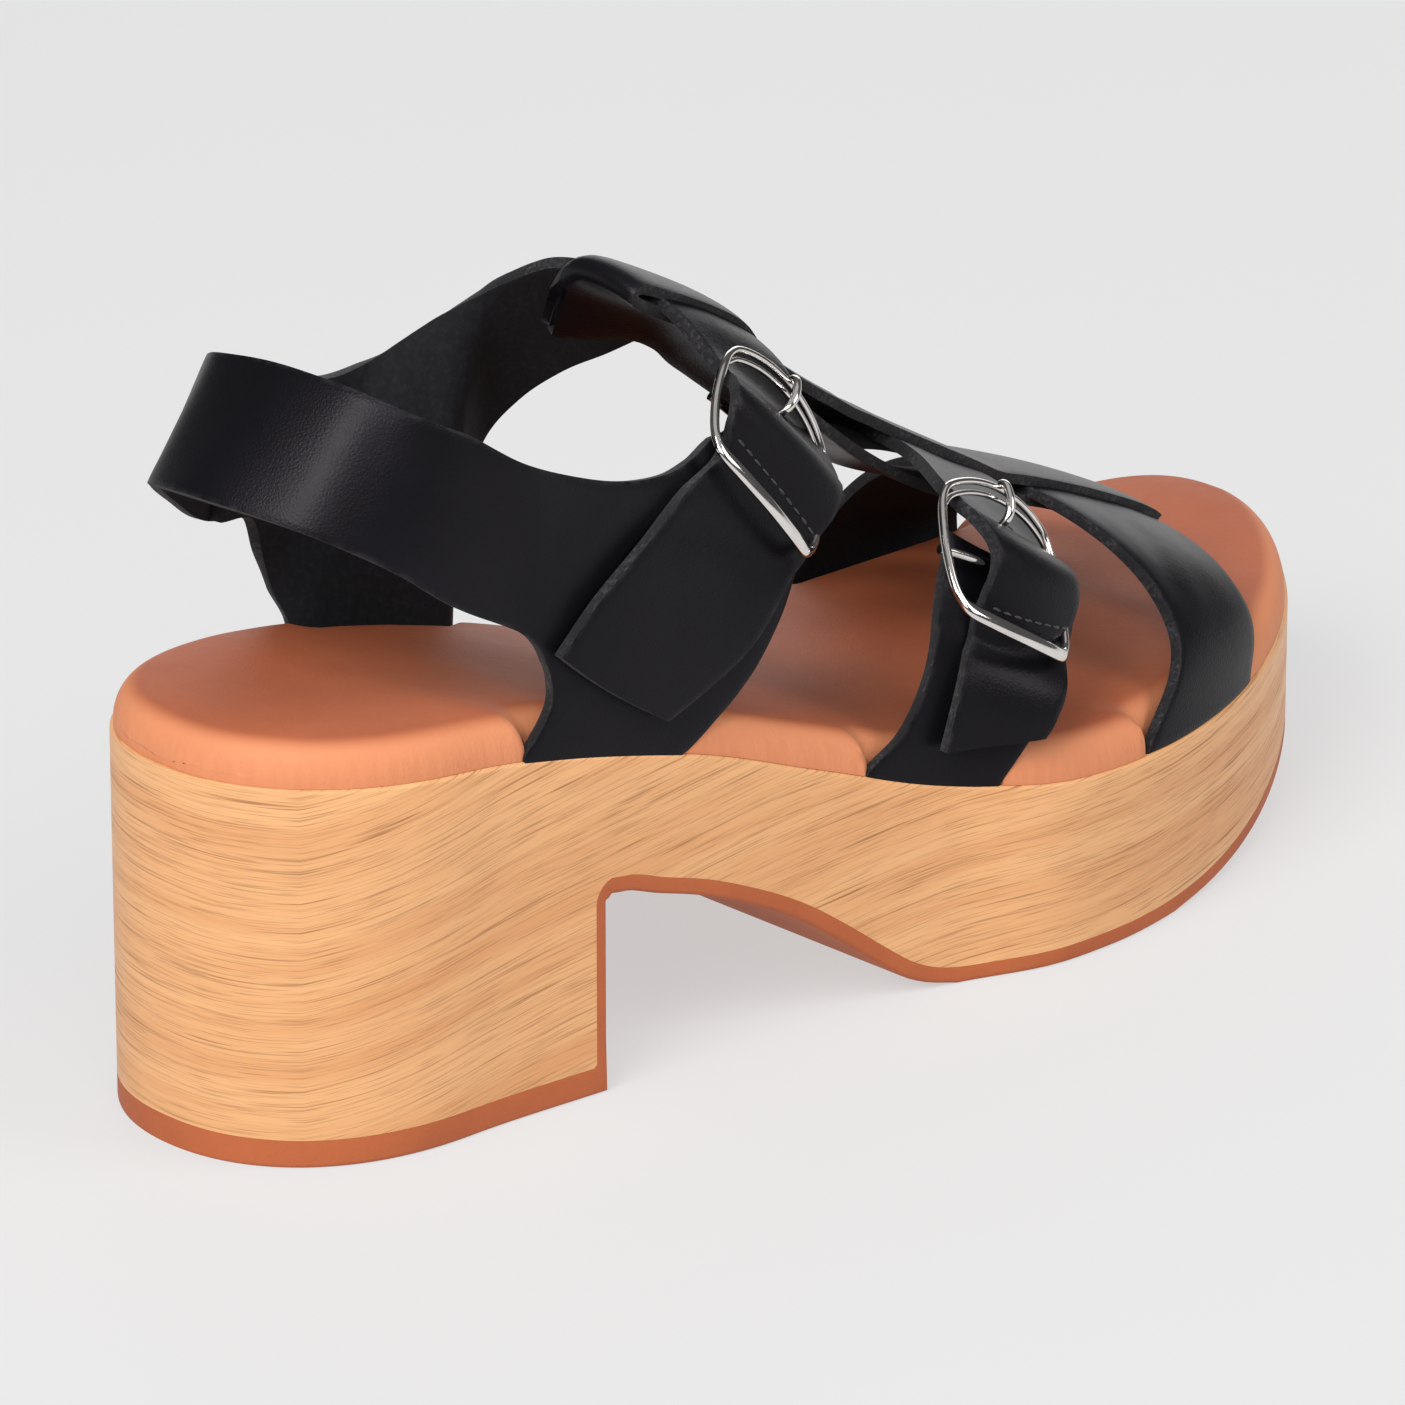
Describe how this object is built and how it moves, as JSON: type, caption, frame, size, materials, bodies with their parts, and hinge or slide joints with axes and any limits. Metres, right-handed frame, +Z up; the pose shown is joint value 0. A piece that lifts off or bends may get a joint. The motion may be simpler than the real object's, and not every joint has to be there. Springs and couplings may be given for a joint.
{
  "type": "heeled sandal",
  "caption": "Right-foot leather sandal with crossed buckled straps, a heel sling and a padded insole on a wood-effect platform sole with a block heel.",
  "frame": {"origin": "middle of the shoe's plan box, on the floor", "axes": "+Y from heel to toe, +X to the outer side of the right foot, +Z up"},
  "size_m": [0.0892, 0.2468, 0.1173],
  "materials": {
    "brown_rubber": "matte brown sheet",
    "wood_effect": "satin light wood effect with fine darker grain",
    "tan_leather": "soft tan leather over padding",
    "black_leather": "smooth black leather with raw cut edges",
    "polished_nickel": "polished nickel plate"
  },
  "bodies": {
    "root": {"outsole": "brown_rubber", "sole_block": "wood_effect", "insole": "tan_leather", "upper": "black_leather", "ankle_buckle_frame": "polished_nickel", "ankle_buckle_prong": "polished_nickel", "mid_buckle_frame": "polished_nickel", "mid_buckle_prong": "polished_nickel"}
  },
  "joints": []
}
